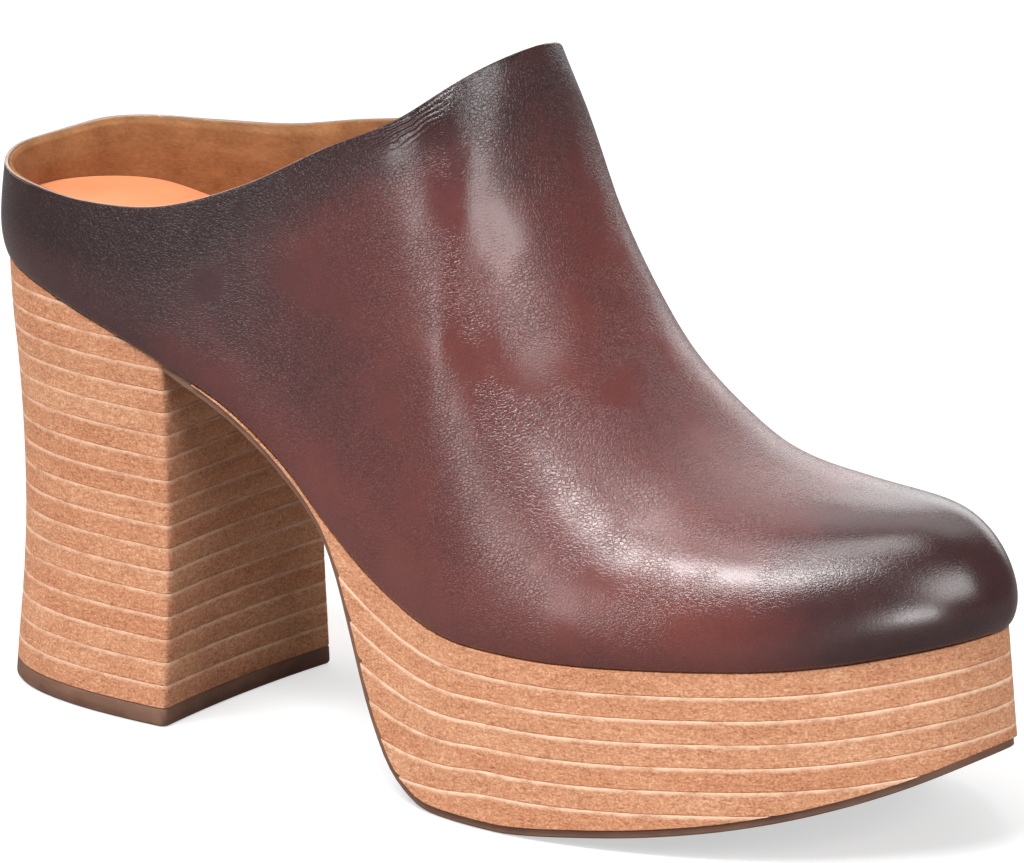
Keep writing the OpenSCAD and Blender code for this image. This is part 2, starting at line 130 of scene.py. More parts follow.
WALL_ROWS = 72          # rows of faces from the sole edge to the top of the upper
RIM_LEATHER = 0.8       # thickness of the leather where it is skived at the topline
RIM_STACK = 1.7         # thickness of leather, tape and lining together at the topline
SKIVE_W = 7             # width of the skived band below the topline
TUCK_D = 0.6            # how far the leather turns in where it meets the platform
TUCK_H = 1.3            # height of that turn
TAPE_TOP = 1.1          # distance of the tape's upper edge from the topline
TAPE_W = 5.4            # width of the tape round the opening
LIFT_BEVEL = 0.14       # worn edge of each lift
THIN_EDGE = 0.2         # thickness at which a lift cut off by the sole's curve ends
TAPE_ROOM = 0.35        # how much deeper the lining lies over the tape
LINING_SEAM_X = 92.56   # station where the brown quarter lining meets the pale vamp lining
LINING_SINK = 0.3       # distance of the linings' upper edge from the topline
NO_LINE = 2.0           # depth below a lift's top where its pale line no longer shows
HEEL_ARC = 54           # steps along each side of the heel's outline
THROAT_Z = OUTER_TOP[-1][1]

# ---- Set ----

AZIMUTH, ELEVATION = 36.0, 15.7     # camera, in degrees from the outer side and from the floor
CAMERA_DISTANCE = 2.2
CAMERA_LENS = 368.8
TARGET = Vector((99.8, 0, 70.3)) * MM
ROOM_LIGHT = 0.16                   # brightness of the room around the softboxes
FLOOR_REACH = 6.0


# ---- Curves, as in the CAD model ----

def curve(knots, at):
    """Smooth curve through the knots, constant beyond both ends."""
    x, y = np.array(knots, float).T
    low = np.maximum(np.arange(len(x)) - 1, 0)
    high = np.minimum(np.arange(len(x)) + 1, len(x) - 1)
    slope = (y[high] - y[low]) / (x[high] - x[low])
    at = np.clip(at, x[0], x[-1])
    i = np.clip(np.searchsorted(x, at, side="right") - 1, 0, len(x) - 2)
    w = x[i + 1] - x[i]
    t = (at - x[i]) / w
    r = 1 - t
    return (r * r * (1 + 2 * t) * y[i] + t * t * (3 - 2 * t) * y[i + 1]
            + t * r * w * (r * slope[i] - t * slope[i + 1]))


def smooth(low, high, value):
    t = np.clip((value - low) / (high - low), 0, 1)
    return t * t * (3 - 2 * t)


def feather(x):
    """Height of the edge between the upper and the sole."""
    return BALL_HEIGHT + HEEL_RISE * curve(HEEL_SHARE, x) + TOE_RISE * curve(TOE_SHARE, x)


def underside(x):
    return np.maximum(0, curve(UNDERSIDE, x))


def x_of(s, inset=0.0):
    return MID_X - (HALF_X - inset) * np.cos(np.pi * s)


def s_of(x):
    return np.arccos(np.clip((MID_X - x) / HALF_X, -1, 1)) / np.pi


def centre_y(x):
    return TOE_SWING * (np.maximum(x, 0) / TIP_X) ** 2


def half_width(x, side):
    return np.where(side < 0, curve(OUTER_HALF, x), curve(INNER_HALF, x))


def outline(s, side, inset):
    """Point of the sole edge at s, from 0 at the back to 1 at the toe tip."""
    x = x_of(s)
    return x_of(s, inset), centre_y(x) + side * np.sin(np.pi * s) * (half_width(x, side) - inset)


def cap_height(s, inset=0.0):
    """Height of the ridge above the sole edge. It closes down to nothing at the toe tip."""
    x = x_of(s)
    t = np.clip((x - CAP_X) / (TIP_X - CAP_X), 0, 1)
    return np.sqrt(np.maximum(0, 1 - t ** 4)) * (curve(RIDGE, x) - inset)


def wall_point(s, side, inset, share):
    """Point of the upper's wall at a share (0 to 1) of the ridge height."""
    s, side, inset, share = np.broadcast_arrays(s, side, inset, share)
    x = x_of(s)
    h = cap_height(s, inset) * share
    e = inset - curve(BULGE, x) * h / BULGE_H * np.exp(1 - h / BULGE_H)
    r = np.maximum(0, 1 - share ** curve(RISE_POWER, x)) ** (1 / curve(SIDE_POWER, x))
    edge_x, edge_y = outline(s, side, e)
    lean = np.maximum(0, (x - BACK_X) / (AXIS_X - BACK_X))
    axis = np.where(x < AXIS_X,
                    AXIS_X * lean ** ((AXIS_X - BACK_X) / AXIS_X) + (x_of(s, e) - x) * lean,
                    x_of(s, e))
    y = centre_y(x)
    return np.stack([axis + r * (edge_x - axis), y + r * (edge_y - y), feather(x) + h], -1)


def edge_point(s, side, inset, h):
    """Point at height h from the sole edge: on the wall above it, on the flared sole below it."""
    s, side, inset, h = np.broadcast_arrays(s, side, inset, h)
    up = wall_point(s, side, inset, np.clip(h / np.maximum(cap_height(s, inset), 1e-3), 0, 1))
    x, y = outline(s, side, inset + WALL_FLARE * h)
    down = np.stack([x, y, feather(x_of(s)) + h], -1)
    return np.where((h > 0)[..., None], up, down)


def toe_end(low):
    """Last station before the toe tip at which a wall that starts at height low still has height."""
    return CAP_X + (TIP_X - CAP_X) * (1 - (low / RIDGE[-1][1]) ** 2) ** 0.25


# ---- Meshes ----

def give_values(mesh, name, values):
    attribute = mesh.attributes.new(name, "FLOAT", "POINT")
    attribute.data.foreach_set("value", np.asarray(values, np.float32))


def vertex_vectors(mesh, key):
    """The x, y and z rows of a vector that every vertex has, such as its place or its normal."""
    values = np.zeros(len(mesh.vertices) * 3)
    mesh.vertices.foreach_get(key, values)
    return values.reshape(-1, 3).T


def new_piece(name, points, faces, material, node=None, slot=None, values=None):
    """A closed mesh piece from points in millimetres, riding on the shoe's one body."""
    mesh = bpy.data.meshes.new(name)
    mesh.from_pydata((np.asarray(points) * MM).tolist(), [], faces)
    for key, data in (values or {}).items():
        give_values(mesh, key, data)
    work = bmesh.new()
    work.from_mesh(mesh)
    bmesh.ops.remove_doubles(work, verts=work.verts, dist=2e-7)
    bmesh.ops.dissolve_degenerate(work, dist=1e-7, edges=work.edges)
    bmesh.ops.recalc_face_normals(work, faces=work.faces)
    if work.calc_volume(signed=True) < 0:
        bmesh.ops.reverse_faces(work, faces=work.faces)
    work.to_mesh(mesh)
    work.free()
    mesh.polygons.foreach_set("use_smooth", [True] * len(mesh.polygons))
    mesh.materials.append(material)
    piece = bpy.data.objects.new(name, mesh)
    bpy.context.scene.collection.objects.link(piece)
    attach(piece, "root")
    if node:
        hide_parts(node)
    return piece


def ring_faces(rings, size):
    """Faces of a tube of rings that all have size points, with its two ends filled."""
    faces = []
    for i in range(rings - 1):
        a, b = i * size, (i + 1) * size
        for j in range(size):
            t = (j + 1) % size
            faces.append((a + j, a + t, b + t, b + j))
    faces.append(tuple(range(size))[::-1])
    faces.append(tuple(range((rings - 1) * size, rings * size)))
    return faces


def smooth_by_angle(piece, degrees):
    """Keeps edges crisp where faces meet at more than this angle."""
    mesh = piece.data
    work = bmesh.new()
    work.from_mesh(mesh)
    limit = math.radians(degrees)
    for edge in work.edges:
        edge.smooth = len(edge.link_faces) != 2 or edge.calc_face_angle(0) < limit
    work.to_mesh(mesh)
    work.free()


# ---- The upper's wall as a lattice of columns and rows ----

class Wall:
    """Outer surface of the upper: columns run from the back, round the outer side to the toe and back
    along the inner side; rows run from the sole edge to the topline or to the ridge."""

    def __init__(self):
        near, reach = 24, 13
        back = np.linspace(0, s_of(THROAT_X - reach), 96)
        rim = s_of(THROAT_X - reach * (1 - np.arange(1, near + 1) / near) ** 2)
        front = np.concatenate([s_of(THROAT_X + np.array([0.8, 1.7, 2.7])),
                                np.linspace(s_of(THROAT_X + 3.8), 1, 104)])
        half = np.concatenate([back, rim, front])
        self.count = len(half)
        self.open_count = len(back) + len(rim)
        self.s = np.concatenate([half, half[::-1]])
        self.side = np.concatenate([-np.ones(self.count), np.ones(self.count)])
        self.x = x_of(self.s)
        self.share = self.shares()
        grid_s, grid_side = self.s[:, None], self.side[:, None]
        rise = cap_height(grid_s) * self.share
        tuck = TUCK_D * np.clip(1 - rise / TUCK_H, 0, 1) ** 2 * smooth(1.0, 0.97, grid_s)
        self.outer = wall_point(grid_s, grid_side, tuck, self.share)
        self.normal = self.normals(self.outer)
        self.is_open = np.concatenate([np.arange(self.count) < self.open_count] * 2)
        self.is_open[self.count:] = self.is_open[:self.count][::-1]
        self.drop = self.distance_to(self.outer[self.is_open, -1])
        self.skive = 1 - smooth(0, SKIVE_W, self.drop)

    def shares(self):
        """Rows of each column as shares of the ridge height, close together at the sole edge."""
        top = np.ones_like(self.x)
        opened = self.x < THROAT_X - 1e-6
        for side, profile in ((-1, OUTER_TOP), (1, INNER_TOP)):
            pick = opened & (self.side == side)
            x = self.x[pick]
            top[pick] = np.minimum(1, (curve(profile, x) - feather(x)) / cap_height(s_of(x)))
        base = np.minimum(TUCK_H * 1.25 / np.maximum(cap_height(self.s), 1e-6), 0.3)
        low = base[:, None] * np.array([0, 0.12, 0.26, 0.42, 0.6, 0.8])
        angle = np.arcsin(base)[:, None] + (np.arcsin(top) - np.arcsin(base))[:, None] * np.linspace(
            0, 1, WALL_ROWS - 5)
        return np.concatenate([low, np.sin(angle)], 1)

    def normals(self, grid):
        """Outward normals of a lattice whose coincident points share one normal."""
        flat = grid.reshape(-1, 3)
        _, first, key = np.unique(np.round(flat, 4), axis=0, return_index=True, return_inverse=True)
        key = key.reshape(grid.shape[:2])
        points = flat[first]
        total = np.zeros_like(points)
        a, b = key[:-1, :-1], key[1:, :-1]
        c, d = key[1:, 1:], key[:-1, 1:]
        area = np.cross(points[c] - points[a], points[d] - points[b])
        for corner in (a, b, c, d):
            np.add.at(total, corner.reshape(-1), area.reshape(-1, 3))
        total /= np.maximum(np.linalg.norm(total, axis=1, keepdims=True), 1e-12)
        return total[key]

    def distance_to(self, targets):
        """Distance from every point of the lattice to the nearest target."""
        flat = self.outer.reshape(-1, 3)
        best = np.full(len(flat), np.inf)
        for t in targets:
            best = np.minimum(best, ((flat - t) ** 2).sum(1))
        return np.sqrt(best).reshape(self.outer.shape[:2])

    def at(self, rim_depth, inset):
        """Lattice at rim_depth below the surface at the topline, and at the CAD inset away from it."""
        away = wall_point(self.s[:, None], self.side[:, None], inset, self.share)
        near = self.outer - self.normal * rim_depth
        return near * self.skive[..., None] + away * (1 - self.skive[..., None])

    def rim_frame(self):
        """Unit vectors at the top of each column that point down into the wall, square to the rim."""
        top = self.outer[:, -1]
        along = np.roll(top, -1, 0) - np.roll(top, 1, 0)
        n = self.count
        along[0] = along[-1] = top[1] - top[-2]
        along[self.open_count - 1] = top[self.open_count - 2] - top[2 * n - self.open_count + 1]
        along[self.open_count - 1] *= -1
        along[2 * n - self.open_count] = along[self.open_count - 1]
        along /= np.maximum(np.linalg.norm(along, axis=1, keepdims=True), 1e-9)
        down = np.cross(self.normal[:, -1], along)
        down /= np.maximum(np.linalg.norm(down, axis=1, keepdims=True), 1e-9)
        flip = np.sign((down * (self.outer[:, -2] - top)).sum(1))
        flip[flip == 0] = 1
        return down * flip[:, None]


def wall_piece(wall, name, outer, inner, material, columns=None, low_row=0, rim=0.3, sink=0.0,
               margin=False, **options):
    """Closed shell between two lattices, with a rounded rim sink millimetres below the topline.
    columns limits it to the stations (from, to); margin turns its lower edge under the foot."""
    down = wall.rim_frame()
    start, end = columns or (BACK_X - 1, TIP_X + 1)
    pick = np.flatnonzero((wall.x > start) & (wall.x < end))
    steps = np.radians([30, 60, 90])
    inner_rows = list(range(wall.share.shape[1] - 2, low_row, -4)) + [low_row]
    rows = wall.share.shape[1] - low_row
    rings = []
    for c in pick:
        out, into = outer[c, low_row:].copy(), inner[c, inner_rows]
        top, bottom = outer[c, -1], inner[c, -1]
        if wall.is_open[c]:
            top, bottom = top + down[c] * sink, bottom + down[c] * sink
            across = bottom - top
            thick = np.linalg.norm(across)
            across = across / thick
            r = min(rim, thick * 0.42)
            out[-1] = top + down[c] * r
            lip = [out[-1] + across * r * (1 - math.cos(a)) - down[c] * r * math.sin(a) for a in steps]
            back = [top + across * (thick - r + r * math.sin(a)) + down[c] * r * (1 - math.cos(a))
                    for a in np.radians([0, 30, 60, 90])]
            lip = np.array(lip + back)
        else:
            lip = np.stack([top] * 3 + [bottom] * 4)
        if margin:
            fold_w = min(MARGIN_W, float(half_width(wall.x[c], wall.side[c])) - 2)
            widths = np.array([LEATHER_T * 0.5, fold_w * 0.5, fold_w])
            x, y = outline(wall.s[c], wall.side[c], widths)
            z = feather(wall.x[c])
            under = np.stack([x, y, np.full(3, z)], -1)
            over = under[::-1] + np.array([0, 0, LEATHER_T])
            x, y = outline(wall.s[c], wall.side[c], LEATHER_T + TUCK_D)
            over[-1] = (x, y, z + LEATHER_T)
            into = into[:-1]
            ring = np.concatenate([out, lip, into, over, under[::-1]])
        else:
            ring = np.concatenate([out, lip, into])
        rings.append(ring)
    size = len(rings[0])
    points = np.concatenate(rings)
    faces = []
    for i in range(len(pick) - 1):
        if pick[i + 1] != pick[i] + 1 or pick[i + 1] == wall.count:
            continue
        both_open = wall.is_open[pick[i]] and wall.is_open[pick[i + 1]]
        a, b = i * size, (i + 1) * size
        for j in range(size):
            if not both_open and rows - 1 <= j < rows + 6:
                continue
            t = (j + 1) % size
            faces.append((a + j, a + t, b + t, b + j))
    for i, c in enumerate(pick):
        begins = i == 0 or pick[i - 1] != c - 1 or c == wall.count
        finishes = i == len(pick) - 1 or pick[i + 1] != c + 1 or pick[i + 1] == wall.count
        at_pole = c in (0, wall.count - 1, wall.count, 2 * wall.count - 1)
        if (begins or finishes) and not at_pole:
            ring = [i * size + j for j in range(size)]
            if not wall.is_open[c]:
                ring = [r for r in ring if not rows <= r - i * size < rows + 6]
            faces.append(tuple(ring))
    return new_piece(name, points, faces, material, **options)


def tape_piece(wall, outer, inner, material, **options):
    """Tape that runs round the opening between two lattices, a little below the topline."""
    below = np.linspace(TAPE_TOP + TAPE_W, TAPE_TOP, 7)
    sides = []
    for columns in (np.arange(wall.open_count), 2 * wall.count - 1 - np.arange(wall.open_count)):
        rings = []
        for c in columns:
            step = np.linalg.norm(np.diff(wall.outer[c][::-1], axis=0), axis=1)
            along = np.concatenate([[0], np.cumsum(step)])
            cut = [np.stack([np.interp(below, along, grid[c][::-1, k]) for k in range(3)], 1)
                   for grid in (outer, inner)]
            rings.append(np.concatenate([cut[0], cut[1][::-1]]))
        sides.append(rings)
    rings = sides[0][::-1] + sides[1][1:]
    size = len(rings[0])
    return new_piece("cloth_topline_tape", np.concatenate(rings), ring_faces(len(rings), size), material,
                     **options)


# ---- Layers of the bottom ----

def stations(start, end, step=1.4):
    """Stations from start to end, closer together where the outline turns at the ends of the shoe."""
    s = np.linspace(0, 1, int(SHOE_LENGTH / step))
    x = x_of(s)
    inner = x[(x > start + 0.4) & (x < end - 0.15)]
    return np.concatenate([[start], inner, [end]])


def layer_piece(name, x, inset, top, low, bevel, material, cross=1, crown=None, **options):
    """Layer between heights top and low of the sole edge, with bevelled edges. cross is the number of
    faces across its width; crown(v, x) lifts its top at v, which runs from -1 to 1 across it."""
    s = s_of(x)
    s[x <= BACK_X + 1e-6] = 0
    s[x >= TIP_X - 1e-6] = 1
    b = np.minimum(bevel, (top - low) * 0.3)
    profile = [(low, b), (low + b, 0 * b), (top - b, 0 * b), (top, b)]
    sides = [[edge_point(s, side, inset + extra, h) for h, extra in profile] for side in (-1, 1)]
    ring = list(sides[0])
    depth = [top - low, top - low - b, b, 0 * b]
    v = np.linspace(-1, 1, cross + 1)[1:-1]
    for t in v:
        point = sides[0][3] * (1 - t) / 2 + sides[1][3] * (1 + t) / 2
        ring.append(point)
        depth.append(0 * b)
    ring += sides[1][::-1]
    depth += [0 * b, b, top - low - b, top - low]
    for t in v[::-1]:
        ring.append(sides[0][0] * (1 - t) / 2 + sides[1][0] * (1 + t) / 2)
        depth.append(top - low)
    points = np.stack(ring, 1)
    if crown:
        across = np.concatenate([[-1] * 4, v, [1] * 4, v[::-1]])
        points[:, :, 2] += crown(across[None, :], x[:, None])
    size = len(ring)
    values = {"below_top": np.stack(depth, 1).reshape(-1)}
    return new_piece(name, points.reshape(-1, 3), ring_faces(len(x), size), material, values=values,
                     **options)


def hide_line(piece):
    """Keeps the pale line off a lift whose top edge meets the upper."""
    for point in piece.data.attributes["below_top"].data:
        point.value += NO_LINE


def moved_square(height, start, end, depth):
    """Curve height(x) moved square to itself by depth, as a function of x."""
    x = np.arange(start, end, 0.5)
    slope = height(x + 0.5) - height(x - 0.5)
    w = np.sqrt(1 + slope * slope)
    at, z = x + depth * slope / w, height(x) - depth / w
    return lambda q: np.interp(q, at, z)


def lift_depth(i, x):
    """Height of the top of platform lift i + 1 against the sole edge."""
    m = feather(x + 0.5) - feather(x - 0.5)
    return -i * (PLATFORM_LIFT_T + curve(LIFT_EXTRA, x)) * np.sqrt(1 + m * m)


def outsole_depth(x):
    return moved_square(underside, BREAST_X - 6, TIP_X + 6, -OUTSOLE_T)(x) - feather(x)


def platform_lift(i, material):
    """Lift i of the platform, counted from the top, cut off where the underside rises."""
    x = np.arange(BREAST_X + GAP, TIP_X, 0.25)
    sound = x[lift_depth(i - 1, x) - outsole_depth(x) > THIN_EDGE]
    start, end = sound[0], sound[-1]
    x = stations(start, TIP_X if end > TIP_X - 2.5 else end)
    top, low = lift_depth(i - 1, x), outsole_depth(x)
    if i < PLATFORM_LIFTS:
        low = np.maximum(lift_depth(i, x) + GAP, low)
    low = np.minimum(low, top - THIN_EDGE * 0.7)
    name = f"platform_lift_{i}"
    piece = layer_piece("stack_" + name, x, 0.0, top, low, LIFT_BEVEL, material, node=name,
                        slot="platform_stack")
    if i == 1:
        hide_line(piece)
    smooth_by_angle(piece, 35)


def outsole(material):
    """Thin outsole that follows the underside from the heel's breast to the toe."""
    x = stations(BREAST_X + GAP, TIP_X)
    top = np.minimum(-0.1, outsole_depth(x) - GAP)
    low = np.minimum(underside(x) - feather(x), outsole_depth(x) - 0.6)
    piece = layer_piece("rubber_outsole", x, OUTSOLE_INSET, top, low, 0.35, material, cross=12,
                        node="outsole", slot="outsole")
    smooth_by_angle(piece, 40)


# ---- Heel ----

def heel_inset(z):
    return curve(HEEL_INSET, z)


def round_corner(a, corner, b, radius, steps=4):
    """Points of the arc that replaces a corner between points a and b."""
    a, corner, b = (np.array(p, float) for p in (a, corner, b))
    u, v = a - corner, b - corner
    p, q = corner + u / np.linalg.norm(u) * radius, corner + v / np.linalg.norm(v) * radius
    t = np.linspace(0, 1, steps + 1)[:, None]
    return list((1 - t) ** 2 * p + 2 * t * (1 - t) * corner + t * t * q)


def heel_outline(z, reach=1.0, extra=0.0, corner=1.7):
    """Outline of the heel at height z, from the outer front corner round the back to the inner one,
    then across the hollow front face."""
    inset = float(heel_inset(z)) + extra
    end = math.acos((MID_X - BREAST_X) / (HALF_X - float(heel_inset(z)))) / math.pi
    s = reach * end * (1 - np.cos(np.linspace(0, math.pi / 2, HEEL_ARC + 1)))
    outer = np.stack(outline(s[::-1], -1, inset), 1)
    inner = np.stack(outline(s, 1, inset), 1)
    front_x = outer[0][0] - extra
    w0, w1 = outer[0][1], inner[-1][1]
    t = np.linspace(0, 1, 21)[1:-1]
    hollow = BREAST_HOLLOW if reach == 1 else 0
    y = w1 + (w0 - w1) * t
    face = np.stack([front_x - hollow * (1 - (2 * t - 1) ** 2), y], 1)
    first, last = np.array([front_x, w0]), np.array([front_x, w1])
    wall = np.concatenate([outer[1:], inner[1:-1]])
    inner_arc = round_corner(wall[-1], last, face[0], corner)
    outer_arc = round_corner(face[-1], first, wall[0], corner)
    return np.concatenate([wall, inner_arc, face, outer_arc])


def cut_bores(piece, bores):
    """Drills round holes: bores holds (x, y, low z, high z, diameter)."""
    if not bores:
        return
    work = bmesh.new()
    for x, y, z0, z1, d in bores:
        matrix = Matrix.Translation((x * MM, y * MM, (z0 + z1) / 2 * MM))
        bmesh.ops.create_cone(work, cap_ends=True, segments=24, radius1=d / 2 * MM, radius2=d / 2 * MM,
                              depth=(z1 - z0) * MM, matrix=matrix)
    mesh = bpy.data.meshes.new("bores")
    work.to_mesh(mesh)
    work.free()
    tool = bpy.data.objects.new("bores", mesh)
    bpy.context.scene.collection.objects.link(tool)
    cut = piece.modifiers.new("bores", "BOOLEAN")
    cut.operation, cut.solver, cut.object = "DIFFERENCE", "EXACT", tool
    graph = bpy.context.evaluated_depsgraph_get()
    made = bpy.data.meshes.new_from_object(piece.evaluated_get(graph))
    piece.modifiers.clear()
    piece.data = made
    bpy.data.objects.remove(tool)


def shaft_box(node):
    low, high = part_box(node)
    return (low.x + high.x) / 2 / MM, (low.y + high.y) / 2 / MM, low.z / MM, high.z / MM


def island_centres(node):
    """Centre and height range of each separate solid of a CAD node."""
    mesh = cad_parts[node].data
    work = bmesh.new()
    work.from_mesh(mesh)
    bmesh.ops.remove_doubles(work, verts=work.verts, dist=1e-6)
    left, found = set(work.verts), []
    while left:
        group, edge = set(), [left.pop()]
        while edge:
            v = edge.pop()
            group.add(v)
            for link in v.link_edges:
                other = link.other_vert(v)
                if other in left:
                    left.discard(other)
                    edge.append(other)
        co = np.array([v.co for v in group]) / MM
        low, high = co.min(0), co.max(0)
        found.append(((low[0] + high[0]) / 2, (low[1] + high[1]) / 2, low[2], high[2]))
    work.free()
    return sorted(found)


def heel_block(name, z0, z1, bevel, material, seat=False, **options):
    """One level of the heel between heights z0 and z1. With seat, its top is cut off by the slope
    that the upper stands on."""
    reach = 1.0
    if seat:
        ends = np.linspace(0.1, 1, 91)
        inset = float(heel_inset(z0))
        end = math.acos((MID_X - BREAST_X) / (HALF_X - inset)) / math.pi
        sound = ends[feather(x_of(ends * end)) - GAP - z0 > 0.3]
        reach = 1.0 if sound[-1] > 0.985 else float(sound[-1])
    base = heel_outline(z0, reach)
    top = np.full(len(base), z1)
    if seat:
        top = np.minimum(z1, feather(base[:, 0]) - GAP)
    b = np.minimum(bevel, (top - z0) * 0.3)
    levels = [(np.full(len(base), z0), bevel), (z0 + b, 0.0), (top - b, 0.0), (top, bevel)]
    rings = []
    for z, extra in levels:
        low, high = heel_outline(z0, reach, extra), heel_outline(z1, reach, extra)
        t = ((z - z0) / (z1 - z0))[:, None]
        xy = low * (1 - t) + high * t
        rings.append(np.column_stack([xy, z]))
    size = len(base)
    faces = ring_faces(4, size)
    depth = np.concatenate([z1 - z for z, _ in levels])
    if seat:
        faces = faces[:-1] + seat_cap(3 * size, size)
    return new_piece(name, np.concatenate(rings), faces, material, values={"below_top": depth},
                     **options)


def seat_cap(offset, size):
    """Strips across the heel between matching points of the two sides."""
    wall = 2 * HEEL_ARC - 1
    faces = []
    for i in range(HEEL_ARC - 1):
        a, b = offset + i, offset + i + 1
        c, d = offset + wall - 1 - i - 1, offset + wall - 1 - i
        faces.append((a, b, c, d) if b != c else (a, b, d))
    front = [offset] + [offset + j for j in range(size - 1, wall - 2, -1)]
    faces.append(tuple(front))
    return faces


# ---- Materials ----

class Finish:
    """Small helper that builds a node material. Lengths are in millimetres."""

    def __init__(self, name):
        self.material = bpy.data.materials.new(name)
        self.material.use_nodes = True
        self.tree = self.material.node_tree
        self.tree.nodes.clear()
        place = self.node("ShaderNodeTexCoord")
        self.place = self.node("ShaderNodeVectorMath", {"operation": "SCALE"}, Scale=1000.0,
                               Vector=place.outputs["Object"]).outputs[0]

    def node(self, kind, settings=None, **inputs):
        node = self.tree.nodes.new(kind)
        for key, value in (settings or {}).items():
            setattr(node, key, value)
        for key, value in inputs.items():
            key = key.replace("_", " ")
            socket = node.inputs[int(key[1:])] if key[1:].isdigit() else node.inputs[key]
            self.put(socket, value)
        return node

    def put(self, socket, value):
        if isinstance(value, bpy.types.NodeSocket):
            self.tree.links.new(value, socket)
        elif isinstance(value, bpy.types.Node):
            self.tree.links.new(value.outputs[0], socket)
        else:
            socket.default_value = value

    def math(self, operation, a, b=0.0, clamp=False):
        settings = {"operation": operation, "use_clamp": clamp}
        return self.node("ShaderNodeMath", settings, i0=a, i1=b).outputs[0]

    def add(self, a, b, clamp=False):
        return self.math("ADD", a, b, clamp)

    def times(self, a, b, clamp=False):
        return self.math("MULTIPLY", a, b, clamp)

    def less(self, value):
        """What is left of 1 when value is taken from it."""
        return self.math("SUBTRACT", 1.0, value)

    def sway(self, value, amount):
        """A value around 0.5 as one that sways around 0, times amount."""
        return self.times(self.math("SUBTRACT", value, 0.5), amount)

    def noise(self, size, detail=3.0, stretch=(1, 1, 1), rough=0.5, vector=None):
        """Noise with features about size across, drawn out along an axis by stretch. Mean 0.5."""
        scaled = self.node("ShaderNodeMapping", Vector=vector or self.place,
                           Scale=[1 / size / f for f in stretch])
        return self.node("ShaderNodeTexNoise", Vector=scaled, Scale=1.0, Detail=detail,
                         Roughness=rough).outputs[0]

    def cells(self, size, feature="DISTANCE_TO_EDGE", vector=None, stretch=(1, 1, 1)):
        scaled = self.node("ShaderNodeMapping", Vector=vector or self.place,
                           Scale=[1 / size / f for f in stretch])
        return self.node("ShaderNodeTexVoronoi", {"feature": feature}, Vector=scaled, Scale=1.0).outputs[0]

    def step(self, value, low, high):
        return self.node("ShaderNodeMapRange", {"interpolation_type": "SMOOTHSTEP"}, Value=value,
                         From_Min=low, From_Max=high).outputs[0]

    def value(self, name):
        return self.node("ShaderNodeAttribute", {"attribute_name": name}).outputs["Fac"]

    def ramp(self, fac, *stops):
        node = self.node("ShaderNodeValToRGB", Fac=fac)
        ramp = node.color_ramp
        while len(ramp.elements) < len(stops):
            ramp.elements.new(0.5)
        for element, (place, colour) in zip(ramp.elements, stops):
            element.position, element.color = place, tuple(colour) + (1.0,)
        return node.outputs[0]

    def mix(self, fac, a, b, blend="MIX"):
        node = self.tree.nodes.new("ShaderNodeMix")
        node.data_type, node.blend_type = "RGBA", blend
        for socket, value in ((node.inputs[0], fac), (node.inputs[6], a), (node.inputs[7], b)):
            if isinstance(value, tuple) and len(value) == 3:
                value = value + (1.0,)
            self.put(socket, value)
        return node.outputs[2]

    def bump(self, height, distance, strength=1.0, normal=None):
        node = self.node("ShaderNodeBump", Strength=strength, Distance=distance * MM, Height=height)
        if normal is not None:
            self.put(node.inputs["Normal"], normal)
        return node.outputs[0]

    def done(self, **inputs):
        shader = self.node("ShaderNodeBsdfPrincipled", **inputs)
        out = self.tree.nodes.new("ShaderNodeOutputMaterial")
        self.tree.links.new(shader.outputs[0], out.inputs[0])
        return self.material


def rgb(red, green, blue):
    """Linear colour from display values between 0 and 255."""
    return tuple((c / 255 / 12.92 if c < 10.3 else ((c / 255 + 0.055) / 1.055) ** 2.4)
                 for c in (red, green, blue))


def upper_leather_finish():
    """Waxed full-grain leather: red-brown rubbed to near black, fine pebbled grain, glossy; lighter along
    its lower edge by a painted reflection. The values burnish_and_painted_reflection, grain, creased,
    to_top and cut_edge come from shade_upper."""
    f = Finish("burnished_leather")
    cloud = f.noise(24, 4, rough=0.6)
    mottle = f.noise(4.5, 4, rough=0.65)
    # darkness from the real burnish, less along the lower edge where a painted reflection lightens the
    # leather
    dark = f.add(f.value("burnish_and_painted_reflection"), f.sway(cloud, 0.5))
    dark = f.add(dark, f.sway(mottle, 0.3), clamp=True)
    colour = f.ramp(dark, (0.0, rgb(116, 58, 52)), (0.3, rgb(98, 50, 48)), (0.62, rgb(70, 38, 39)),
                    (1.0, rgb(48, 22, 22)))
    warp = f.noise(0.9, 2)
    moved = f.node("ShaderNodeVectorMath", {"operation": "ADD"}, i0=f.place,
                   i1=f.node("ShaderNodeCombineXYZ", X=warp, Y=f.noise(1.1, 2), Z=warp)).outputs[0]
    grain = f.times(f.value("grain"), f.step(f.noise(17, 2), 0.3, 0.6))
    grain = f.add(0.12, f.times(grain, 0.88), clamp=True)
    crack = f.less(f.step(f.cells(0.85, vector=moved, stretch=(1.15, 1.15, 0.7)), 0.0, 0.2))
    fine = f.noise(0.3, 2, rough=0.6)
    colour = f.mix(f.times(f.times(crack, grain), 0.42), colour, rgb(30, 17, 19))
    colour = f.mix(f.value("cut_edge"), colour, rgb(168, 138, 118))
    wave = f.math("SINE", f.add(f.times(f.value("to_top"), 4.2), f.times(f.noise(7, 3), 16.0)))
    normal = f.bump(f.times(wave, f.value("creased")), 0.1, 0.8)
    normal = f.bump(f.noise(6.5, 3, (1.0, 1.0, 2.0), 0.55), 0.5, 0.1, normal)
    height = f.math("SUBTRACT", f.times(fine, 0.6), crack)
    normal = f.bump(f.times(height, grain), 0.06, 0.8, normal)
    rough = f.add(0.2, f.times(fine, 0.12))
    return f.done(Base_Color=colour, Roughness=rough, Normal=normal, Specular_IOR_Level=0.8)


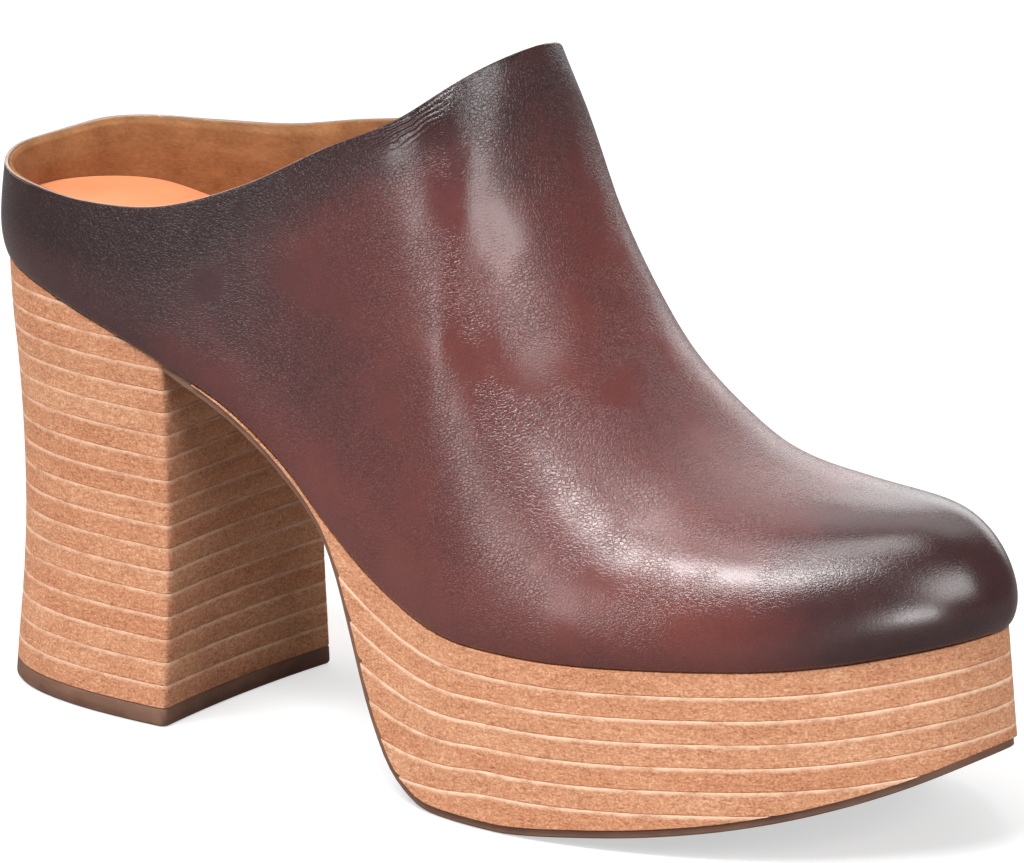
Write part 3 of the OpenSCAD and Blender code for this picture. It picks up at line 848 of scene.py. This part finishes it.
def suede_finish(name, light, dark, nap=0.6):
    f = Finish(name)
    brushed = f.noise(5.5, 4, (1.6, 1.6, 0.8), 0.6)
    fibre = f.noise(nap, 4, (2.2, 1.4, 1.0), 0.7)
    mixed = f.add(f.times(brushed, 0.65), f.times(fibre, 0.5))
    colour = f.ramp(mixed, (0.34, dark), (0.78, light))
    normal = f.bump(fibre, 0.14, 0.7)
    return f.done(Base_Color=colour, Roughness=0.95, Normal=normal, Specular_IOR_Level=0.15,
                  Sheen_Weight=0.35, Sheen_Roughness=0.5, Sheen_Tint=light + (1.0,))


def smooth_leather_finish(name, light, dark, roughness=0.5):
    f = Finish(name)
    cloud = f.noise(18, 3)
    pores = f.cells(0.6)
    colour = f.ramp(f.add(f.times(cloud, 0.8), f.times(pores, 0.1)), (0.2, dark), (0.75, light))
    return f.done(Base_Color=colour, Roughness=roughness, Normal=f.bump(pores, 0.03, 0.35))


def stack_finish(name, line=1.0):
    """Stacked leather, sanded flush: short-fibred edges, with the paler grain side of each lift
    showing as a soft, broken line along its top."""
    f = Finish(name)
    below = f.value("below_top")
    offset = f.node("ShaderNodeObjectInfo").outputs["Random"]
    shift = f.node("ShaderNodeVectorMath", {"operation": "ADD"}, i0=f.place,
                   i1=f.node("ShaderNodeCombineXYZ", X=f.times(offset, 300.0),
                             Y=f.times(offset, 170.0), Z=0.0)).outputs[0]
    streak = f.noise(0.5, 4, (4.0, 4.0, 1.0), 0.7, shift)
    speck = f.noise(0.42, 3, (1.5, 1.5, 1.0), 0.75, shift)
    cloud = f.noise(11, 3, (1.6, 1.6, 0.6), 0.55, shift)
    tone = f.add(f.sway(streak, 0.8), f.sway(speck, 1.5))
    tone = f.add(tone, f.sway(cloud, 0.4))
    body = f.ramp(f.add(tone, 0.5), (0.12, rgb(158, 98, 70)), (0.4, rgb(206, 144, 108)),
                  (0.6, rgb(224, 164, 126)), (0.9, rgb(246, 208, 174)))
    tinted = f.mix(f.times(offset, 0.22), body, rgb(226, 172, 140), "MULTIPLY")
    ragged = f.add(below, f.sway(f.noise(2.2, 4, vector=shift), 0.9))
    edge = f.less(f.step(ragged, 0.2, 1.15))
    broken = f.add(0.35, f.times(f.step(f.noise(6, 4, vector=shift), 0.3, 0.62), 0.65))
    broken = f.times(broken, f.add(0.55, speck), clamp=True)
    colour = f.mix(f.times(f.times(edge, broken), line), tinted, rgb(255, 214, 182))
    seam = f.times(f.less(f.step(below, 0.02, 0.16)), f.step(f.noise(4, 3, vector=shift), 0.4, 0.6))
    colour = f.mix(f.times(seam, 0.4), colour, rgb(140, 92, 66))
    relief = f.add(f.times(speck, 1.1), f.times(streak, 0.6))
    relief = f.add(relief, f.times(edge, 0.35))
    return f.done(Base_Color=colour, Roughness=0.9, Normal=f.bump(relief, 0.2, 0.9),
                  Specular_IOR_Level=0.2)


def rubber_finish(name, light, dark):
    f = Finish(name)
    grit = f.noise(0.5, 3, rough=0.7)
    cloud = f.noise(9, 3)
    scuffs = f.noise(1.2, 3, (5, 5, 1), 0.6)
    tone = f.add(f.times(cloud, 0.6), f.times(scuffs, 0.4))
    colour = f.ramp(tone, (0.3, dark), (0.7, light))
    return f.done(Base_Color=colour, Roughness=f.add(0.5, f.times(grit, 0.3)),
                  Normal=f.bump(grit, 0.08, 0.5))


def steel_finish(name, shade):
    f = Finish(name)
    brush = f.noise(0.5, 3, (1, 1, 8), 0.6)
    colour = f.ramp(brush, (0.3, tuple(c * 0.75 for c in shade)), (0.7, shade))
    return f.done(Base_Color=colour, Metallic=1.0, Normal=f.bump(brush, 0.02, 0.4),
                  Roughness=f.add(0.25, f.times(brush, 0.25)))


def board_finish(name, light, dark, grain=0.8, stretch=(3, 1, 1)):
    f = Finish(name)
    fibre = f.noise(grain, 4, stretch, 0.65)
    specks = f.cells(grain * 2.2)
    tone = f.add(f.times(fibre, 0.8), f.times(specks, 0.25))
    colour = f.ramp(tone, (0.3, dark), (0.72, light))
    return f.done(Base_Color=colour, Roughness=0.9, Normal=f.bump(tone, 0.12, 0.6))


# ---- Build: upper ----

def build_upper():
    wall = Wall()
    leather = upper_leather_finish()
    over_tape = TAPE_ROOM * smooth(0.4, TAPE_TOP, wall.drop)[..., None]
    lining_out = wall.at(RIM_LEATHER + GAP + over_tape, STIFFENER_D)
    room = ((wall.outer - lining_out) * wall.normal).sum(-1)
    thick = RIM_LEATHER * wall.skive + LEATHER_T * (1 - wall.skive)
    thick = np.minimum(thick, np.maximum(room - 0.08, 0.3))
    upper = wall_piece(wall, "upper", wall.outer, wall.outer - wall.normal * thick[..., None], leather,
                       rim=0.34, margin=True, node="upper_leather", slot="upper_leather")
    shade_upper(upper)
    lining_in = wall.at(RIM_STACK + 0.2 * smooth(0.4, 2, wall.drop)[..., None], LINING_D)
    cloth = board_finish("tape_cloth", rgb(236, 232, 222), rgb(200, 194, 182), 0.4, (2, 2, 1))
    tape_piece(wall, wall.at(RIM_LEATHER + 0.06, LEATHER_T + 0.1),
               wall.at(RIM_LEATHER + 0.34, STIFFENER_D - 0.1), cloth, node="topline_tape",
               slot="interlining")
    columns = int(wall.open_count * 0.75)
    low = int(np.searchsorted(wall.share[columns] * cap_height(wall.s[columns]), BOARD_H))
    brown = suede_finish("lining_suede", rgb(164, 116, 78), rgb(118, 76, 46))
    wall_piece(wall, "suede_quarter_lining", lining_out, lining_in, brown,
               columns=(BACK_X - 1, LINING_SEAM_X + 0.05), low_row=low, sink=LINING_SINK,
               node="quarter_lining", slot="suede_lining")
    pale = suede_finish("vamp_lining_suede", rgb(200, 146, 106), rgb(158, 102, 66))
    wall_piece(wall, "suede_vamp_lining", lining_out, lining_in, pale,
               columns=(LINING_SEAM_X - 0.05, toe_end(BOARD_H + 3)), low_row=low, sink=LINING_SINK,
               node="vamp_lining", slot="suede_lining")


def shade_upper(upper):
    """Values at the leather's points: burnish_and_painted_reflection (0 red to 1 near black; lowered along
    the lower edge by a painted reflection), strength of the grain and of the creases, distance to the
    topline, and cut_edge (1 on the raw, pale edge and flesh side)."""
    mesh = upper.data
    x, y, z = vertex_vectors(mesh, "co") / MM
    rise = z - feather(x)
    top_line = np.where(y < centre_y(x), curve(OUTER_TOP, x), curve(INNER_TOP, x))
    to_top = np.where(x < THROAT_X, top_line - z, 40 + x - THROAT_X)
    back = 1 - smooth(5, 95, x)
    near_top = (1 - smooth(0, 18, to_top)) * 0.5
    throat = 0.5 * np.exp(-((x - THROAT_X) ** 2 + (z - THROAT_Z) ** 2) / 24 ** 2)
    toe = smooth(160, 214, x) * 0.75
    # painted reflection: the leather is made lighter along its lower edge, standing in for the heel and
    # floor it would reflect
    painted_low_reflection = (1 - smooth(2, 24, rise)) * 0.42 * (1 - toe)
    burnish_and_painted_reflection = np.clip(0.16 + 0.85 * back + near_top + throat + toe - painted_low_reflection, 0, 1)
    give_values(mesh, "burnish_and_painted_reflection", burnish_and_painted_reflection)
    give_values(mesh, "grain", 1 - 0.75 * smooth(160, 200, x) - 0.35 * (1 - smooth(3, 22, rise)))
    on_top = (1 - smooth(1.5, 9, to_top)) * smooth(62, 80, x) * (1 - smooth(96, 104, x))
    give_values(mesh, "creased", on_top)
    give_values(mesh, "to_top", np.clip(to_top, 0, 60))
    nx, ny, up = vertex_vectors(mesh, "normal")
    far = y > centre_y(x)
    inward = np.where(far, -ny, ny) * smooth(-10, 10, x) + nx * (1 - smooth(-10, 10, x))
    pale = np.maximum(smooth(0.5, 0.9, up) * (1 - smooth(0.0, 0.6, to_top)), smooth(0.1, 0.5, inward))
    give_values(mesh, "cut_edge", pale * np.where(far, x < THROAT_X + 4, x < THROAT_X - 34))


# ---- Build: bottom ----

def build_bottom():
    stack = stack_finish("platform_stack")
    heel_stack = stack_finish("heel_stack", 0.7)
    rubber = rubber_finish("outsole_rubber", rgb(136, 98, 78), rgb(102, 70, 54))
    for i in range(1, PLATFORM_LIFTS + 1):
        platform_lift(i, stack)
    outsole(rubber)
    screws = [shaft_box("heel_screw")]
    nails = island_centres("heel_nails")
    tacks = island_centres("top_piece_nails")
    for i in range(1, HEEL_LIFTS + 1):
        z0 = TOP_PIECE_T + (i - 1) * HEEL_LIFT_T
        z1 = z0 + HEEL_LIFT_T - GAP
        name = f"heel_lift_{i}"
        piece = heel_block("stack_" + name, z0, z1, LIFT_BEVEL, heel_stack,
                           seat=z1 > feather(BREAST_X) - GAP, node=name, slot="heel_stack")
        bores = [(x, y, low - 0.3, SEAT_Z + 9, SCREW_HOLE) for x, y, low, _ in screws if z1 > low - 0.3]
        bores += [(x, y, low - 0.3, SEAT_Z + 9, NAIL_HOLE) for x, y, low, _ in nails if z1 > low - 0.3]
        bores += [(x, y, 0, high + 0.2, TACK_HOLE) for x, y, _, high in tacks if z0 < high]
        cut_bores(piece, bores)
        smooth_by_angle(piece, 35)
    piece = heel_block("rubber_top_piece", 0.0, TOP_PIECE_T - GAP, 0.4, rubber,
                       node="heel_top_piece", slot="top_piece")
    cut_bores(piece, [(x, y, -1, TOP_PIECE_T + 1, TACK_HOLE) for x, y, _, _ in tacks])
    smooth_by_angle(piece, 40)


def build_sock():
    tan = smooth_leather_finish("sock_leather", rgb(244, 158, 112), rgb(228, 138, 94), 0.55)
    x = stations(BACK_X, toe_end(BOARD_H + 6))
    top = curve(SOCK, x)

    def dish(v, at):
        return 0.3 * (np.abs(v) ** 4)

    piece = layer_piece("leather_sock_lining", x, SOCK_INSET, top, top - SOCK_T, 0.3, tan, cross=24,
                        crown=dish, node="sock_lining", slot="sock_leather")
    smooth_by_angle(piece, 50)


def finish_hidden_nodes():
    """Materials of the CAD nodes that stay as they are, inside the shoe."""
    looks = {
        "toe_puff": board_finish("toe_puff_fabric", rgb(196, 180, 150), rgb(158, 140, 110), 0.5, (1, 1, 1)),
        "heel_counter": board_finish("counter_board", rgb(206, 190, 160), rgb(164, 146, 116), 0.6),
        "interlining": board_finish("interlining_cloth", rgb(226, 222, 210), rgb(190, 184, 170), 0.4,
                                    (1, 1, 2)),
        "insole_board": board_finish("insole_fibreboard", rgb(184, 152, 112), rgb(140, 110, 76)),
        "bottom_filler": board_finish("filler_cork", rgb(196, 150, 100), rgb(120, 82, 48), 1.2, (1, 1, 1)),
        "footbed_foam": board_finish("footbed_foam", rgb(236, 222, 182), rgb(206, 188, 144), 0.7,
                                     (1, 1, 1)),
        "shank": steel_finish("shank_steel", rgb(150, 154, 160)),
        "shank_rivets": steel_finish("rivet_steel", rgb(186, 189, 194)),
        "heel_screw": steel_finish("screw_steel", rgb(170, 173, 178)),
        "heel_nails": steel_finish("nail_steel", rgb(158, 161, 166)),
        "top_piece_nails": steel_finish("tack_steel", rgb(158, 161, 166)),
    }
    for node, material in looks.items():
        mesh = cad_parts[node].data
        mesh.materials.clear()
        mesh.materials.append(material)


# ---- Set: floor, light and camera ----

def emission_world():
    """White behind the shoe for the camera; a soft grey room for reflections and fill."""
    world = bpy.data.worlds.new("studio")
    bpy.context.scene.world = world
    world.use_nodes = True
    tree = world.node_tree
    tree.nodes.clear()
    path = tree.nodes.new("ShaderNodeLightPath")
    white = tree.nodes.new("ShaderNodeBackground")
    white.inputs[0].default_value, white.inputs[1].default_value = (1, 1, 1, 1), 1.1
    room = tree.nodes.new("ShaderNodeBackground")
    room.inputs[0].default_value, room.inputs[1].default_value = (1, 1, 1, 1), ROOM_LIGHT
    mix = tree.nodes.new("ShaderNodeMixShader")
    out = tree.nodes.new("ShaderNodeOutputWorld")
    tree.links.new(path.outputs["Is Camera Ray"], mix.inputs[0])
    tree.links.new(room.outputs[0], mix.inputs[1])
    tree.links.new(white.outputs[0], mix.inputs[2])
    tree.links.new(mix.outputs[0], out.inputs[0])


def direction(azimuth, elevation):
    """Unit vector to a place: azimuth 0 is on the outer side, 90 beyond the toe."""
    a, e = math.radians(azimuth), math.radians(elevation)
    return Vector((math.sin(a) * math.cos(e), -math.cos(a) * math.cos(e), math.sin(e)))


def softbox(name, azimuth, elevation, distance, width, height, glow):
    """Area light aimed at the shoe. Glow is the brightness of its face, so that a smaller box of the
    same glow gives less light."""
    light = bpy.data.lights.new(name, "AREA")
    light.shape, light.size, light.size_y = "RECTANGLE", width, height
    light.energy = glow * math.pi * width * height
    lamp = bpy.data.objects.new(name, light)
    bpy.context.scene.collection.objects.link(lamp)
    aim = direction(azimuth, elevation)
    lamp.location = TARGET + aim * distance
    lamp.rotation_euler = aim.to_track_quat("Z", "Y").to_euler()
    return lamp


def build_set():
    emission_world()
    floor_mesh = bpy.data.meshes.new("floor")
    reach, low = FLOOR_REACH, CAD_BOX[0][2] - 0.0002
    floor_mesh.from_pydata([(-reach, -reach, low), (reach, -reach, low), (reach, reach, low),
                            (-reach, reach, low)], [], [(0, 1, 2, 3)])
    f = Finish("white_floor")
    path = f.node("ShaderNodeLightPath").outputs["Is Camera Ray"]
    glossy = f.node("ShaderNodeLightPath").outputs["Is Glossy Ray"]
    shade = f.mix(glossy, (0.4, 0.4, 0.4), (0.2, 0.2, 0.2))
    shade = f.mix(path, shade, (0.5, 0.5, 0.5))
    floor_mesh.materials.append(f.done(Base_Color=shade, Roughness=0.9, Specular_IOR_Level=0.1,
                                       Emission_Color=(1, 1, 1, 1),
                                       Emission_Strength=f.times(path, 0.56)))
    floor = bpy.data.objects.new("floor", floor_mesh)
    bpy.context.scene.collection.objects.link(floor)
    softbox("front_high", -5, 60, 1.6, 1.1, 0.4, 17)
    softbox("left_low", -26, 18, 1.6, 0.6, 0.75, 5)
    softbox("top", 40, 89, 1.6, 0.8, 0.7, 5)
    softbox("right_high", 85, 28, 1.8, 1.2, 0.7, 5.4)
    softbox("top_back", -160, 48, 1.6, 1.5, 0.9, 1.2)
    softbox("backdrop", 216, 12, 2.4, 3.6, 1.0, 2.2)
    glint = softbox("toe_strip", 58, 3, 1.6, 0.4, 0.4, 12)
    glint.visible_diffuse = False
    camera = bpy.data.objects.new("camera", bpy.data.cameras.new("camera"))
    bpy.context.scene.collection.objects.link(camera)
    back = direction(AZIMUTH, ELEVATION)
    camera.location = TARGET + back * CAMERA_DISTANCE
    camera.rotation_euler = back.to_track_quat("Z", "Y").to_euler()
    camera.data.sensor_fit, camera.data.sensor_width, camera.data.lens = "HORIZONTAL", 36, CAMERA_LENS
    camera.data.clip_end = 50
    bpy.context.scene.camera = camera
    bpy.context.scene.view_settings.view_transform = "Standard"


build_upper()
build_bottom()
build_sock()
finish_hidden_nodes()
build_set()
